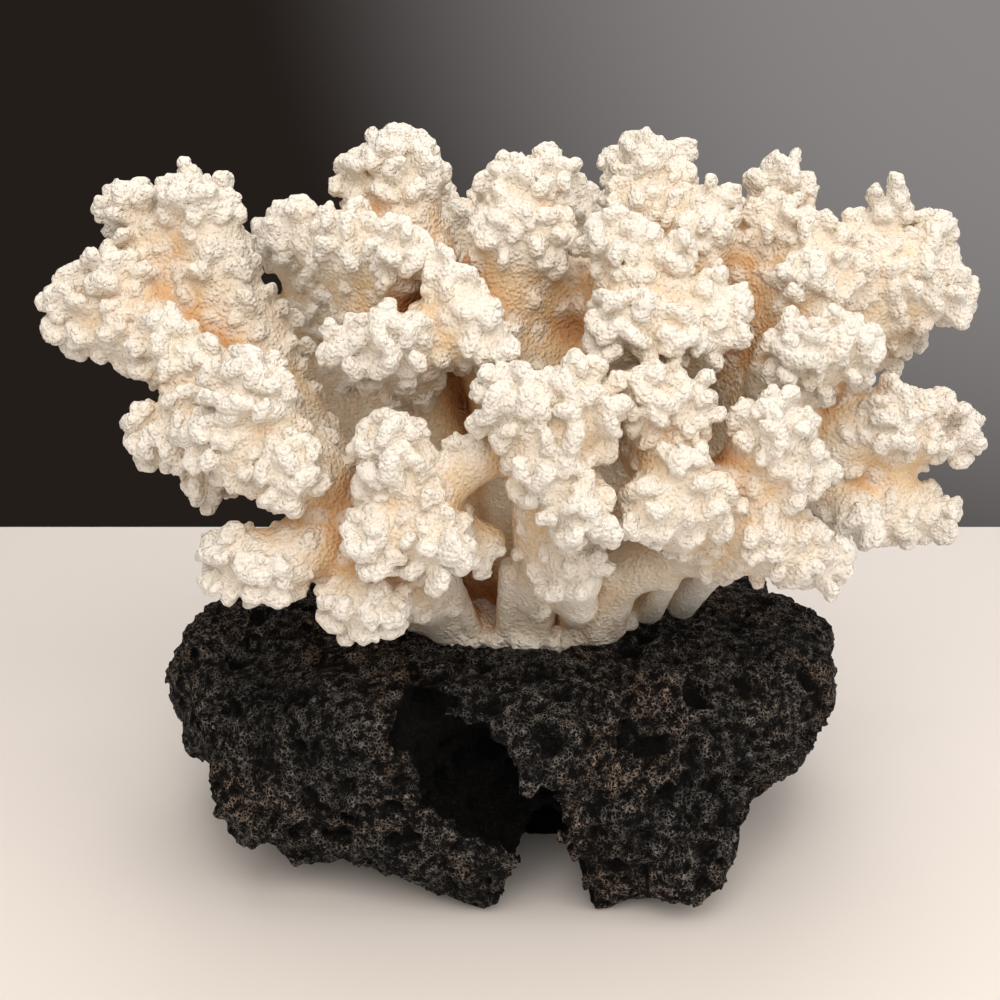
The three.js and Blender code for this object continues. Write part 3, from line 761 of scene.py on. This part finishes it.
def skin_of(values, corner, step):
    """The closed surface where the field is nought, as points in millimetres and four-sided faces."""
    grid = openvdb.FloatGrid(float(FAR))
    grid.copyFromArray(np.ascontiguousarray(values))
    points, quads = grid.convertToQuads(isovalue=0.0)
    return without_crumbs(points * step + corner, quads[:, ::-1])


def without_crumbs(points, quads, share=0.02):
    """Leaves out loose bits: each face's corners take their lowest label until nothing changes."""
    label = np.arange(len(points))
    while True:
        before = label.copy()
        lowest = label[quads].min(1)
        np.minimum.at(label, quads.ravel(), np.repeat(lowest, 4))
        label = label[label]
        if np.array_equal(before, label):
            break
    owners, count = np.unique(label, return_counts=True)
    kept = np.isin(label, owners[count > share * len(points)])
    place = np.cumsum(kept) - 1
    return points[kept], place[quads[kept[quads[:, 0]]]]


def lattice_noise(points, size, seed):
    """Smooth noise from -1 to 1: random values on a lattice, eased between neighbours."""
    low = points.min(0) - size
    shape = np.ceil((points.max(0) - low) / size).astype(int) + 2
    values = np.random.default_rng(seed).uniform(-1, 1, shape).astype(np.float32)
    place = (points - low) / size
    base = np.floor(place).astype(int)
    part = place - base
    part = (part * part * (3 - 2 * part)).astype(np.float32)
    total = np.zeros(len(points), np.float32)
    for corner in np.ndindex(2, 2, 2):
        weight = np.prod(np.where(corner, part, 1 - part), axis=1)
        total += weight * values[tuple((base + corner).T)]
    return total


def cell_domes(points, size, seed):
    """Round domes with sharp creases between them: 1 at a scattered seed, falling to 0 half way to the next.

    Each cell of a lattice holds one seed; the height is 1 - (distance to the nearest seed / size)^2.
    """
    low = points.min(0) - 2 * size
    shape = np.ceil((points.max(0) - low) / size).astype(int) + 2
    jitter = np.random.default_rng(seed).uniform(0, 1, (*shape, 3)).astype(np.float32)
    place = ((points - low) / size).astype(np.float32)
    base = np.floor(place).astype(int)
    nearest = np.full(len(points), 9.0, np.float32)
    for step in np.ndindex(3, 3, 3):
        cell = base + np.array(step) - 1
        away = cell + jitter[tuple(cell.T)] - place
        nearest = np.minimum(nearest, np.einsum("ij,ij->i", away, away))
    return 1 - np.minimum(nearest, 1)


def mesh_piece(name, points, quads, attributes, material, node):
    """A piece that replaces a node: its points plus TO_CENTRE, turned from millimetres into metres."""
    mesh = bpy.data.meshes.new(name)
    mesh.vertices.add(len(points))
    place = (points + TO_CENTRE) * MM
    mesh.vertices.foreach_set("co", place.astype(np.float32).ravel())
    mesh.loops.add(quads.size)
    mesh.loops.foreach_set("vertex_index", np.ascontiguousarray(quads, np.int32).ravel())
    mesh.polygons.add(len(quads))
    mesh.polygons.foreach_set("loop_start", np.arange(0, quads.size, 4, dtype=np.int32))
    mesh.update(calc_edges=True)
    mesh.validate()
    mesh.shade_smooth()
    for key, values in attributes.items():
        layer = mesh.attributes.new(key, "FLOAT", "POINT")
        layer.data.foreach_set("value", values.astype(np.float32))
    mesh.materials.append(material)
    piece = bpy.data.objects.new(name, mesh)
    bpy.context.scene.collection.objects.link(piece)
    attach(piece, "root")
    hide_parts(node)
    return piece


@cache
def grown_pieces(step, spacing, knob_height, seed):
    """Grows the whole colony once, shares it out and gives each piece's mesh, by name."""
    meshes = {}
    colony, bloom, shares = grow_colony(step, spacing, seed)
    best, second, whose = share_out(colony, shares)
    crowd = crowding(colony)
    stand_on_rock(colony)
    bloom_field = Field.over(colony.low, colony.step, bloom)
    for index, (name, share) in enumerate(shares.items()):
        window = share.window
        others = np.where(whose[window] == index, second[window], best[window])
        cell = (share.value - others) / 2 - OVERLAP
        values = np.maximum(colony.value[window], cell)
        points, quads = skin_of(values, colony.corner(window), colony.step)
        cell_field = Field.over(colony.corner(window), colony.step, cell)
        beyond = np.clip(cell_field.sample(points) + OVERLAP, 0, OVERLAP) / OVERLAP
        skin = colony.sample(points)
        outer = np.clip(1 + skin / 0.5, 0, 1)
        way = colony.slope(points)
        bloomed = np.clip(1 - bloom_field.sample(points) / 1.6, 0, 1)
        knobby = cell_domes(points, KNOB_SIZE, 5) - 0.6
        grain = lattice_noise(points, 1.1, 6)
        lift = outer * (knob_height * bloomed * knobby + GRAIN * grain) - TUCK * beyond * outer
        if name == "coral_foot":
            bloomed = np.maximum(bloomed, CRUST_BLOOM)
            lift = lift + outer * CRUST_LUMP * lattice_noise(points, CRUST_LUMP_SIZE, 8)
        # painted shade: how much coral crowds round each point, which turns the colour tawny in the hollows
        hollow_shade_crowding = crowd.sample(points + 2.5 * way)
        stained = np.zeros(len(points))
        for *spot, reach in STAINS:
            near = 1 - np.linalg.norm(points - np.array(spot), axis=1) / reach
            stained = np.maximum(stained, near)
        points = points + way * lift[:, None]
        meshes[name] = (points, quads, {"crowd": hollow_shade_crowding, "bloom": bloomed, "stain": stained})
    return meshes


def add_pieces(settings, is_wanted):
    """Makes the pieces whose names are wanted, from the one colony that the settings grow."""
    material = bpy.data.materials.get("bleached_aragonite") or coral_material(settings)
    step = settings.grid_step / MM
    meshes = grown_pieces(step, settings.petal_spacing / MM, settings.knob_height / MM, settings.seed)
    for name, (points, quads, attributes) in meshes.items():
        if is_wanted(name):
            mesh_piece(name + "_grown", points, quads, attributes, material, name)


# ------------------------------------------------------------------ lava rock


@cache
def rock_field(step, pits):
    """A squared block that draws in towards the floor, swollen, lumpy and pitted.

    reach = ((|x|^plan + |y|^plan)^(side/plan) + |z|^side)^(1/side) over the half sizes, and the field is
    (reach - 1) / |slope of reach|, less the swells and lumps.
    """
    half = np.array(ROCK["half"], float)
    centre = np.array(ROCK["centre"], float)
    low = centre - half - (9, 9, 0)
    low[2] = -4
    high = centre + half + 9
    field = Field(low, high, step)
    x, y, z = field.axes[0][:, None, None], field.axes[1][None, :, None], field.axes[2][None, None, :]
    below = np.clip(1 - z / ROCK["brow"], 0, 1.2) ** 3
    waist = np.where(x < centre[0], ROCK["left"], ROCK["right"])
    ux = np.abs(x - centre[0]) / (half[0] * (1 - below * waist))
    uy = np.abs(y - centre[1]) / (half[1] * (1 - below * ROCK["depth"]))
    uz = np.abs(z - centre[2]) / np.where(z > centre[2], half[2], ROCK["root"])
    plan = (ux ** ROCK["plan"] + uy ** ROCK["plan"]) ** (1 / ROCK["plan"])
    reach = (plan ** ROCK["side"] + uz ** ROCK["side"]) ** (1 / ROCK["side"])
    steep = np.sqrt(sum(part**2 for part in np.gradient(reach, field.step)))
    value = (reach - 1) / np.maximum(steep, 1e-3)
    calm = 1 - ROCK["calm"] * np.clip((z - centre[2]) / half[2], 0, 1) ** 4
    for wave, phase, height in SWELLS:
        value = value - calm * height * np.sin(wave[0] * x + wave[1] * y + wave[2] * z + phase)
    rng = np.random.default_rng(23)
    for size, height in LUMPS:
        value = value - height * (1 - 0.35 * (calm < 0.6)) * spline_noise(field, size, rng)
    field.value = value.astype(np.float32)
    block = Field.over(field.low, field.step, field.value.copy())
    ragged = (1.6 * spline_noise(field, 6, rng) + 0.8 * spline_noise(field, 2.6, rng)).astype(np.float32)
    for start, end in zip(CREVICE, CREVICE[1:]):
        stroke = stroke_of(start[:3], start[3], end[:3], end[3], 0)
        window = field.window(np.minimum(start[:3], end[:3]) - 20, np.maximum(start[:3], end[:3]) + 20)
        away = taper_distance(field.axes, window, stroke) + ragged[window]
        field.value[window] = -soft_union(-field.value[window], away, np.float32(2))
    middle = (ARCH["left"] + ARCH["right"]) / 2
    wide = (ARCH["right"] - ARCH["left"]) / 2
    wall = np.abs(x - middle) - wide * np.sqrt(np.clip(1 - z / ARCH["crown"], 0, 1))
    tunnel = np.maximum(np.maximum(wall, y - ARCH["back"]), z - ARCH["crown"]) + 0.6 * ragged
    field.value = np.maximum(field.value, -tunnel.astype(np.float32))
    pit_rock(field, pits, rng)
    field.value = np.maximum(field.value, -z.astype(np.float32))
    return field, block


def spline_noise(field, size, rng):
    """Smooth noise over a whole grid: random knots, blended along each axis by the cubic B-spline."""
    counts = [int((axis[-1] - axis[0]) / size) + 5 for axis in field.axes]
    result = rng.normal(0, 1.7, counts)
    for number, axis in enumerate(field.axes):
        place = (axis - axis[0]) / size
        base = np.floor(place).astype(int)
        t = place - base
        weights = np.zeros((len(axis), counts[number]))
        rising = (-3 * t**3 + 3 * t**2 + 3 * t + 1) / 6
        parts = ((1 - t) ** 3 / 6, (3 * t**3 - 6 * t**2 + 4) / 6, rising, t**3 / 6)
        for k, part in enumerate(parts):
            weights[np.arange(len(axis)), base + k] = part
        result = np.moveaxis(np.tensordot(weights, result, axes=(1, number)), 0, number)
    return result


def pit_rock(field, pits, rng):
    """Gas bubbles in the lava: round pits, most of them small, strewn over the skin."""
    band = np.argwhere(np.abs(field.value) < 0.6)
    for index in rng.choice(len(band), pits, replace=False):
        centre = field.low + band[index] * field.step
        radius = PIT_RADIUS[0] + (PIT_RADIUS[1] - PIT_RADIUS[0]) * rng.random() ** 3
        window = field.window(centre - radius - 1, centre + radius + 1)
        away = taper_distance(field.axes, window, stroke_of(centre, radius, centre, radius, 0))
        field.value[window] = np.maximum(field.value[window], -away)


# ------------------------------------------------------------------ materials


def linear(hex_colour):
    """sRGB hex to linear RGBA."""
    parts = [int(hex_colour[i : i + 2], 16) / 255 for i in (1, 3, 5)]
    return [c / 12.92 if c <= 0.04045 else ((c + 0.055) / 1.055) ** 2.4 for c in parts] + [1.0]


def add_node(tree, kind, settings=None, links=None):
    """Adds a node with its settings and links.

    Settings are its properties, its sockets' values by name or number, or a ramp's stops as place and colour.
    """
    node = tree.nodes.new("ShaderNode" + kind)
    for key, value in (settings or {}).items():
        if key == "stops":
            elements = node.color_ramp.elements
            while len(elements) < len(value):
                elements.new(0.5)
            for element, (place, colour) in zip(elements, value):
                element.position, element.color = place, colour
        elif isinstance(key, int) or key in node.inputs:
            node.inputs[key].default_value = value
        else:
            setattr(node, key, value)
    for key, socket in (links or {}).items():
        tree.links.new(socket, node.inputs[key])
    return node


def new_material(name):
    """A material with its nodes on: the material, its tree and its main shader."""
    material = bpy.data.materials.new(name)
    material.use_nodes = True
    tree = material.node_tree
    return material, tree, tree.nodes["Principled BSDF"]


def coral_material(settings):
    """Bleached aragonite skeleton, grown in cups about a millimetre apart and left chalky by the air.

    Tips are white and limbs cream; the deepening to tawny where the coral crowds round is painted shade in
    the hollows, and it has hardly any gloss.
    """
    material, tree, shader = new_material("bleached_aragonite")
    place = add_node(tree, "TexCoord").outputs["Object"]
    crowd = add_node(tree, "Attribute", {"attribute_name": "crowd"}).outputs["Fac"]
    bloom = add_node(tree, "Attribute", {"attribute_name": "bloom"}).outputs["Fac"]
    stain = add_node(tree, "Attribute", {"attribute_name": "stain"}).outputs["Fac"]
    patches = add_node(tree, "TexNoise", {"Scale": 1 / 0.012, "Detail": 3.0}, {"Vector": place})
    # partly the coral's own cream, partly painted shade: the more coral crowds round a point, the further its
    # colour goes from white through cream to tawny, with random patches
    tone_and_hollow_shade = add_node(tree, "Math", {"operation": "MULTIPLY_ADD", 1: 0.35},
                   {0: patches.outputs["Fac"], 2: crowd})
    tone = add_node(tree, "ValToRGB", {"stops": [
        (0.30, linear("#F9F4EC")), (0.46, linear("#F3E7D5")), (0.60, [*settings.limb_colour, 1]),
        (0.74, linear("#DDB283")), (0.92, [*settings.hollow_shade_colour, 1]),
    ]}, {0: tone_and_hollow_shade.outputs[0]})
    fresh = add_node(tree, "Math", {"operation": "MULTIPLY", 1: 0.6}, {0: bloom})
    white = add_node(tree, "Mix", {"data_type": "RGBA", 7: [*settings.tip_colour, 1]},
                     {6: tone.outputs[0], 0: fresh.outputs[0]})
    cups = add_node(tree, "TexVoronoi", {"feature": "SMOOTH_F1", "Scale": 1 / 0.001, "Smoothness": 0.6},
                    {"Vector": place})
    dome = add_node(tree, "MapRange", {1: 0.15, 2: 0.62, 3: 1.0, 4: 0.0}, {0: cups.outputs["Distance"]})
    chalk = add_node(tree, "TexNoise", {"Scale": 1 / 0.0005, "Detail": 2.0}, {"Vector": place})
    relief = add_node(tree, "Math", {"operation": "MULTIPLY_ADD", 1: 0.7},
                      {0: chalk.outputs["Fac"], 2: dome.outputs[0]})
    depth = add_node(tree, "MapRange", {3: 0.7, 4: 1.0}, {0: bloom})
    height = add_node(tree, "Math", {"operation": "MULTIPLY"}, {0: relief.outputs[0], 1: depth.outputs[0]})
    bump = add_node(tree, "Bump", {"Distance": 0.0006, "Strength": 0.9}, {"Height": height.outputs[0]})
    # painted shade: the colour darkens by up to 8% in the creases between the cups
    shade = add_node(tree, "MapRange", {3: 0.92, 4: 1.0}, {0: dome.outputs[0]})
    shaded = add_node(tree, "Mix", {"data_type": "RGBA", "blend_type": "MULTIPLY", 0: 1.0},
                      {6: white.outputs[2], 7: shade.outputs[0]})
    specks = add_node(tree, "TexNoise", {"Scale": 1 / 0.0022, "Detail": 4.0, "Roughness": 0.7},
                      {"Vector": place})
    rusty = add_node(tree, "Math", {"operation": "MULTIPLY_ADD", 1: 0.45},
                     {0: stain, 2: specks.outputs["Fac"]})
    rust = add_node(tree, "MapRange", {1: 0.7, 2: 0.84}, {0: rusty.outputs[0]})
    spread = add_node(tree, "MapRange", {1: 0.0, 2: 0.5, 4: 0.5}, {0: stain})
    amount = add_node(tree, "Math", {"operation": "MULTIPLY"}, {0: rust.outputs[0], 1: spread.outputs[0]})
    final = add_node(tree, "Mix", {"data_type": "RGBA", 7: [*settings.stain_colour, 1]},
                     {6: shaded.outputs[2], 0: amount.outputs[0]})
    tree.links.new(final.outputs[2], shader.inputs["Base Color"])
    tree.links.new(bump.outputs[0], shader.inputs["Normal"])
    shader.inputs["Roughness"].default_value = 0.8
    shader.inputs["IOR"].default_value = 1.53
    shader.inputs["Specular IOR Level"].default_value = 0.35
    return material


def lava_material(settings):
    """Basalt lava: black glass full of burst gas bubbles, whose thin walls have weathered grey-brown outside.

    The walls between bubbles stand up and catch the light: their pale grey-brown is partly weathering and
    partly a painted highlight. Painted shade keeps the pale off inside the wider bubbles and deep in the
    pits, crevice and cave, which stay black.
    """
    material, tree, shader = new_material("black_lava")
    place = add_node(tree, "TexCoord").outputs["Object"]
    hidden = add_node(tree, "Attribute", {"attribute_name": "hidden"}).outputs["Fac"]
    warp = add_node(tree, "TexNoise", {"Scale": 1 / 0.0014, "Detail": 3.0}, {"Vector": place})
    bent = add_node(tree, "VectorMath", {"operation": "MULTIPLY_ADD", 1: (0.0018, 0.0018, 0.0018)},
                    {0: warp.outputs["Color"], 2: place})
    walls = add_node(tree, "TexVoronoi", {"feature": "DISTANCE_TO_EDGE", "Scale": 1 / 0.001},
                     {"Vector": bent.outputs[0]})
    wide = add_node(tree, "TexVoronoi", {"feature": "DISTANCE_TO_EDGE", "Scale": 1 / 0.0036},
                    {"Vector": bent.outputs[0]})
    dust = add_node(tree, "TexNoise", {"Scale": 1 / 0.0028, "Detail": 6.0, "Roughness": 0.7},
                    {"Vector": place})
    broad = add_node(tree, "TexNoise", {"Scale": 1 / 0.024, "Detail": 2.0}, {"Vector": place})
    # partly painted highlight: the pale grey-brown on the walls that stand up between bubbles is partly
    # weathering and partly a painted highlight
    crest = add_node(tree, "MapRange", {1: 0.0, 2: 0.16, 3: 1.0, 4: 0.0}, {0: walls.outputs["Distance"]})
    # painted shade: inside the wider bubbles only 0.4 of the pale crust is left
    bowl = add_node(tree, "MapRange", {1: 0.05, 2: 0.4, 3: 1.0, 4: 0.4}, {0: wide.outputs["Distance"]})
    worn = add_node(tree, "MapRange", {1: 0.45, 2: 0.57}, {0: dust.outputs["Fac"]})
    faded = add_node(tree, "MapRange", {1: 0.36, 2: 0.62, 3: 0.4, 4: 1.0}, {0: broad.outputs["Fac"]})
    brown = add_node(tree, "MapRange", {1: 0.42, 2: 0.6}, {0: broad.outputs["Fac"]})
    # painted shade: the pale crust fades out deep under the block's face
    bare = add_node(tree, "MapRange", {1: 0.0, 2: 0.6, 3: 1.0, 4: 0.0}, {0: hidden})
    amount = crest.outputs[0]
    for factor in (bowl, worn, faded, bare):
        product = add_node(tree, "Math", {"operation": "MULTIPLY"}, {0: amount, 1: factor.outputs[0]})
        amount = product.outputs[0]
    weathered_and_highlight = add_node(tree, "Mix", {"data_type": "RGBA", 6: [*settings.grey, 1], 7: [*settings.brown, 1]},
                         {0: brown.outputs[0]})
    tone = add_node(tree, "Mix", {"data_type": "RGBA", 6: [*settings.black, 1]},
                    {0: amount, 7: weathered_and_highlight.outputs[2]})
    relief = add_node(tree, "Math", {"operation": "MULTIPLY_ADD", 1: 0.6},
                      {0: crest.outputs[0], 2: bowl.outputs[0]})
    bump = add_node(tree, "Bump", {"Distance": 0.001, "Strength": 1.0}, {"Height": relief.outputs[0]})
    tree.links.new(tone.outputs[2], shader.inputs["Base Color"])
    tree.links.new(bump.outputs[0], shader.inputs["Normal"])
    shader.inputs["Roughness"].default_value = 0.75
    shader.inputs["IOR"].default_value = 1.55
    shader.inputs["Specular IOR Level"].default_value = 0.12
    return material


def board_material(colour):
    """Painted board: a smooth off-white coat with a dull sheen."""
    material, _, shader = new_material("painted_board")
    shader.inputs["Base Color"].default_value = [*colour, 1]
    shader.inputs["Roughness"].default_value = 0.55
    return material


# ------------------------------------------------------------------ settings, operators and panel


def colour_property(name, description, hex_colour):
    """A colour setting whose default is an sRGB hex turned linear."""
    return FloatVectorProperty(name=name, description=description, default=linear(hex_colour)[:3],
                               min=0, max=1, subtype="COLOR")


class CoralSettings(bpy.types.PropertyGroup):
    """Sizes and colours of the coral"""

    grid_step: FloatProperty(
        name="Grid step", description="Fineness of the coral's surface", default=VOXEL * MM, min=0.4 * MM,
        unit="LENGTH", precision=5,
    )
    petal_spacing: FloatProperty(
        name="Petal spacing", description="From one petal to the next along the limbs",
        default=PETAL_SPACING * MM, min=4 * MM, unit="LENGTH", precision=5,
    )
    knob_height: FloatProperty(
        name="Knob height", description="How far the smallest knobs stand out of a petal",
        default=KNOB_HEIGHT * MM, min=0, max=1.5 * MM, unit="LENGTH", precision=5,
    )
    seed: IntProperty(name="Seed", description="Which of many like colonies grows", default=SEED, min=0)
    tip_colour: colour_property("Tips", "Colour of the petals' ends", "#FCF7EE")
    limb_colour: colour_property("Limbs", "Colour of the open limbs", "#EBD1AD")
    # painted shade: the tawny that the colour reaches in the hollows, where the most coral crowds round
    hollow_shade_colour: colour_property("Hollows", "Colour deep inside the colony", "#A2683C")
    stain_colour: colour_property("Stains", "Colour of the rusty specks", "#8A6342")


class LavaSettings(bpy.types.PropertyGroup):
    """Sizes and colours of the rock"""

    crumb_height: FloatProperty(
        name="Crumb height", description="How far the clinker's crumbs stand out of the rock",
        default=CLINKER_HEIGHT * MM, min=0, max=3 * MM, unit="LENGTH", precision=5,
    )
    black: colour_property("Glass", "Colour of the fresh lava in its hollows", "#060505")
    # both crust colours lie on the walls between bubbles, partly weathering and partly a painted highlight
    grey: colour_property("Grey crust", "Colour of the weathered walls between bubbles", "#D2CDC7")
    brown: colour_property("Brown crust", "Colour of the same where it is rusty", "#C4AF9F")


class StageSettings(bpy.types.PropertyGroup):
    """The table top, the backdrop and the camera"""

    board_colour: colour_property("Table top", "Colour of the painted board", "#E9E4E1")
    backdrop_colour: colour_property("Backdrop", "Colour of the dark backdrop", "#241E1B")
    sheen_colour: colour_property(
        "Backdrop's sheen", "Colour where the backdrop catches the light", "#8B8786"
    )
    lamp_power: FloatProperty(
        name="Lamp power", description="Power of the front lamp, which the others follow", default=9.3, min=0,
        unit="POWER",
    )
    elevation: FloatProperty(
        name="Elevation", description="How far the camera looks down", default=math.radians(20),
        subtype="ANGLE",
    )
    stand_off: FloatProperty(
        name="Stand-off", description="From the camera to the middle of the coral", default=0.42,
        unit="LENGTH",
    )


class CORAL_OT_rock(bpy.types.Operator):
    """Makes the block of lava rock"""

    bl_idname = "coral.rock"
    bl_label = "Lava rock"

    def execute(self, context):
        settings = context.scene.lava
        field, block = rock_field(ROCK_STEP, PITS)
        points, quads = skin_of(field.value, field.low, field.step)
        inward = -block.sample(points)
        standing = np.clip((points[:, 2] - 1) / 2, 0, 1)
        domes = cell_domes(points, CLINKER, 31) - 0.6 + 0.5 * lattice_noise(points, 1.3, 32)
        crumbs = settings.crumb_height / MM * domes
        points = points + field.slope(points) * (standing * crumbs)[:, None]
        # painted shade: 0 on the block's own face, 1 this far inside it, in the pits, the crevice and the
        # cave
        hidden = np.clip(inward / SHADED_DEPTH, 0, 1)
        material = lava_material(settings)
        mesh_piece("lava_rock_grown", points, quads, {"hidden": hidden}, material, "lava_rock")
        return {"FINISHED"}


class CORAL_OT_foot(bpy.types.Operator):
    """Grows the crust on the rock and the columns that stand on it"""

    bl_idname = "coral.foot"
    bl_label = "Foot and columns"

    def execute(self, context):
        add_pieces(context.scene.coral, lambda name: name.startswith(("coral_foot", "column")))
        return {"FINISHED"}


class CORAL_OT_trunks(bpy.types.Operator):
    """Grows the trunks that rise from the foot"""

    bl_idname = "coral.trunks"
    bl_label = "Trunks"

    def execute(self, context):
        add_pieces(context.scene.coral, lambda name: name.startswith("trunk"))
        return {"FINISHED"}


class CORAL_OT_branches(bpy.types.Operator):
    """Grows the branches above each fork"""

    bl_idname = "coral.branches"
    bl_label = "Branches"

    def execute(self, context):
        add_pieces(context.scene.coral, lambda name: name.startswith("branch"))
        return {"FINISHED"}


class CORAL_OT_stage(bpy.types.Operator):
    """Makes the table top, the backdrop's colour, the lights and the camera"""

    bl_idname = "coral.stage"
    bl_label = "Stage"

    def execute(self, context):
        settings = context.scene.stage
        table_top(settings.board_colour)
        for name, spot, size, share, colour in LAMPS:
            soft_lamp(name, spot, size, settings.lamp_power * share, colour)
        backdrop(settings.backdrop_colour, settings.sheen_colour)
        camera(settings.elevation, settings.stand_off)
        return {"FINISHED"}


# Name, place in metres, width, power as a share of the front lamp's, colour.
LAMPS = [
    ("lamp_front", (-0.05, -0.8, 0.8), 0.9, 1.0, "#FFF7EE"),
    ("lamp_right", (0.75, -0.45, 0.6), 0.8, 0.5, "#FFF8F0"),
    ("lamp_left", (-0.8, -0.3, 0.5), 0.8, 0.15, "#FFF2E4"),
    ("lamp_top", (0.0, 0.1, 1.0), 0.9, 0.5, "#FFFAF4"),
    ("lamp_back", (0.1, 0.8, 0.7), 0.8, 0.28, "#FFFAF4"),
]
LAMP_AIM = (0, 0, 0.09)
SHEEN_WAY = (0.36, 0.93, 0.05)  # where the dark backdrop catches the light
LOOK_AT = np.array([-3.7, 0, 94]) + TO_CENTRE
FOCAL = 36 * 1.585  # focal length in millimetres on a 36 mm sensor


def table_top(colour):
    """A flat board whose far edge lies just behind the rock."""
    left, right, front, back, thick = -0.5, 0.5, -0.6, 0.221, 0.012
    corners = [(left, front), (right, front), (right, back), (left, back)]
    points = [(x, y, z) for z in (-thick, 0) for x, y in corners]
    faces = [(3, 2, 1, 0), (4, 5, 6, 7)] + [(i, (i + 1) % 4, (i + 1) % 4 + 4, i + 4) for i in range(4)]
    mesh = bpy.data.meshes.new("table_top")
    mesh.from_pydata(points, [], faces)
    mesh.materials.append(board_material(colour))
    board = bpy.data.objects.new("table_top", mesh)
    bpy.context.scene.collection.objects.link(board)


def soft_lamp(name, spot, size, power, colour):
    """A square area lamp at a spot, turned towards the middle of the coral."""
    light = bpy.data.lights.new(name, "AREA")
    light.size, light.energy = size, power
    light.color = linear(colour)[:3]
    lamp = bpy.data.objects.new(name, light)
    lamp.location = spot
    lamp.rotation_euler = (Vector(LAMP_AIM) - lamp.location).to_track_quat("-Z", "Y").to_euler()
    bpy.context.scene.collection.objects.link(lamp)


def backdrop(dark, sheen_colour):
    """A dark cloth far behind, paler towards one side, worked out from the way that each ray leaves."""
    world = bpy.data.worlds.new("dark_backdrop")
    bpy.context.scene.world = world
    world.use_nodes = True
    tree = world.node_tree
    way = add_node(tree, "TexCoord").outputs["Object"]
    towards = add_node(tree, "VectorMath", {"operation": "DOT_PRODUCT", 1: SHEEN_WAY}, {0: way})
    sheen = add_node(tree, "MapRange", {1: 0.86, 2: 1.0, "interpolation_type": "SMOOTHSTEP"},
                     {0: towards.outputs["Value"]})
    tone = add_node(tree, "Mix", {"data_type": "RGBA", 6: [*dark, 1], 7: [*sheen_colour, 1]},
                    {0: sheen.outputs[0]})
    tree.links.new(tone.outputs[2], tree.nodes["Background"].inputs["Color"])
    bpy.context.scene.view_settings.view_transform = "Standard"


def camera(elevation, stand_off):
    """The camera stands off from LOOK_AT, back along -Y and up by the elevation, and looks at it."""
    data = bpy.data.cameras.new("camera")
    data.lens, data.sensor_width = FOCAL, 36
    view = bpy.data.objects.new("camera", data)
    way = np.array([0, -math.cos(elevation), math.sin(elevation)])
    view.location = Vector(LOOK_AT * MM + stand_off * way)
    view.rotation_euler = (math.pi / 2 - elevation, 0, 0)
    bpy.context.scene.collection.objects.link(view)
    bpy.context.scene.camera = view


class CORAL_PT_panel(bpy.types.Panel):
    """Lists the steps in order, then the settings"""

    bl_label = "Coral"
    bl_idname = "CORAL_PT_panel"
    bl_space_type = "VIEW_3D"
    bl_region_type = "UI"
    bl_category = "Coral"

    def draw(self, context):
        for step in STEPS:
            self.layout.operator(step.bl_idname)
        for title, key in (("Coral", "coral"), ("Rock", "lava"), ("Stage", "stage")):
            settings = getattr(context.scene, key)
            box = self.layout.box()
            box.label(text=title)
            for name in settings.__annotations__:
                box.prop(settings, name)


STEPS = (CORAL_OT_rock, CORAL_OT_foot, CORAL_OT_trunks, CORAL_OT_branches, CORAL_OT_stage)
CLASSES = (CoralSettings, LavaSettings, StageSettings, *STEPS, CORAL_PT_panel)


def register():
    for cls in CLASSES:
        bpy.utils.register_class(cls)
    bpy.types.Scene.coral = PointerProperty(type=CoralSettings)
    bpy.types.Scene.lava = PointerProperty(type=LavaSettings)
    bpy.types.Scene.stage = PointerProperty(type=StageSettings)


def unregister():
    del bpy.types.Scene.coral, bpy.types.Scene.lava, bpy.types.Scene.stage
    for cls in reversed(CLASSES):
        bpy.utils.unregister_class(cls)


def main():
    register()
    bpy.ops.coral.rock()
    bpy.ops.coral.foot()
    bpy.ops.coral.trunks()
    bpy.ops.coral.branches()
    bpy.ops.coral.stage()
    bpy.context.view_layer.update()


if __name__ == "__main__":
    main()
